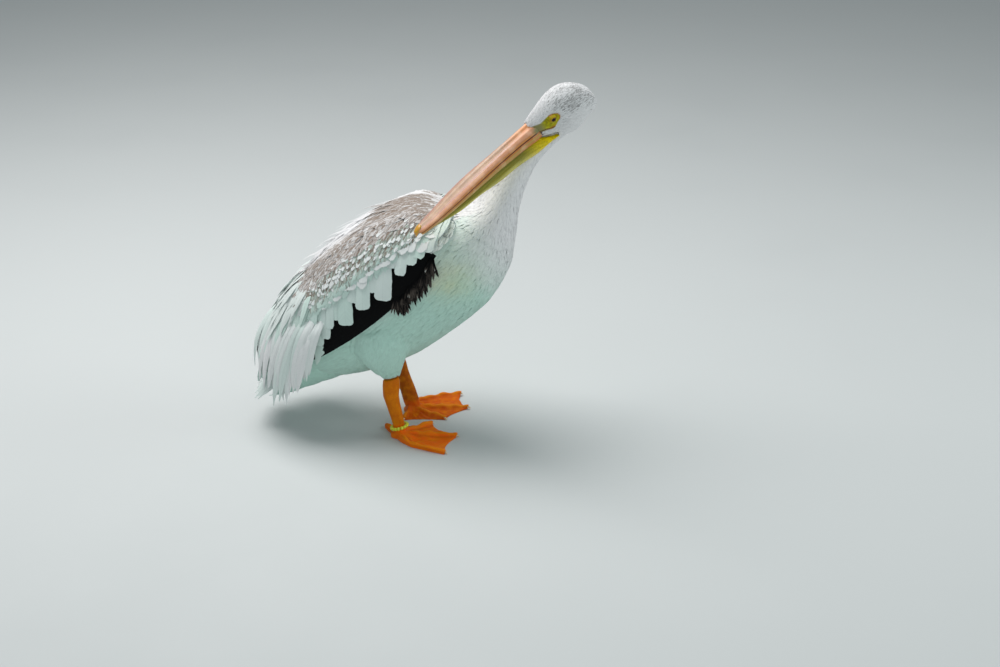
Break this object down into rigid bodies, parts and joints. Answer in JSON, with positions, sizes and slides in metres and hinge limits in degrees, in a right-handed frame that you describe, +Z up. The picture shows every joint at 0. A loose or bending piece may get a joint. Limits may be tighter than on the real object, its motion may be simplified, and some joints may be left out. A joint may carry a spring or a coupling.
{
  "type": "pelican",
  "caption": "Standing white pelican, life size, body tilted, neck raised and head turned back to preen the right shoulder with its long bill.",
  "frame": {"origin": "on the floor, under the middle of the bird's bounding box", "axes": "+X the way the breast faces, +Y to the bird's left, +Z up"},
  "size_m": [0.723, 0.3144, 0.7519],
  "materials": {
    "white_plumage": "soft white feathers",
    "grey_plumage": "white feathers with brownish grey centres",
    "black_plumage": "black flight feathers with a slight sheen",
    "bill_horn": "smooth salmon orange horn",
    "nail_horn": "glossy yellow orange horn",
    "pouch_skin": "bare yellow olive skin",
    "leg_skin": "scaled orange skin",
    "claw_horn": "brown horn",
    "eye": "wet dark brown",
    "bead_plastic": "yellow plastic beads"
  },
  "bodies": {
    "root": {"trunk": "white_plumage", "neck_lower": "white_plumage", "neck_upper": "white_plumage", "head": "white_plumage", "bill_upper": "bill_horn", "bill_lower": "bill_horn", "bill_nail": "nail_horn", "bill_pouch": "pouch_skin", "eye_left": "eye", "wing_left": "grey_plumage", "flight_feathers_left": "black_plumage", "tertials_left": "white_plumage", "thigh_left": "white_plumage", "shank_left": "leg_skin", "foot_left": "leg_skin", "claw_left_outer": "claw_horn", "claw_left_middle": "claw_horn", "claw_left_inner": "claw_horn", "claw_left_hind": "claw_horn", "eye_right": "eye", "wing_right": "grey_plumage", "flight_feathers_right": "black_plumage", "tertials_right": "white_plumage", "thigh_right": "white_plumage", "shank_right": "leg_skin", "foot_right": "leg_skin", "claw_right_outer": "claw_horn", "claw_right_middle": "claw_horn", "claw_right_inner": "claw_horn", "claw_right_hind": "claw_horn", "tail": "white_plumage", "leg_band": "bead_plastic"}
  },
  "joints": []
}
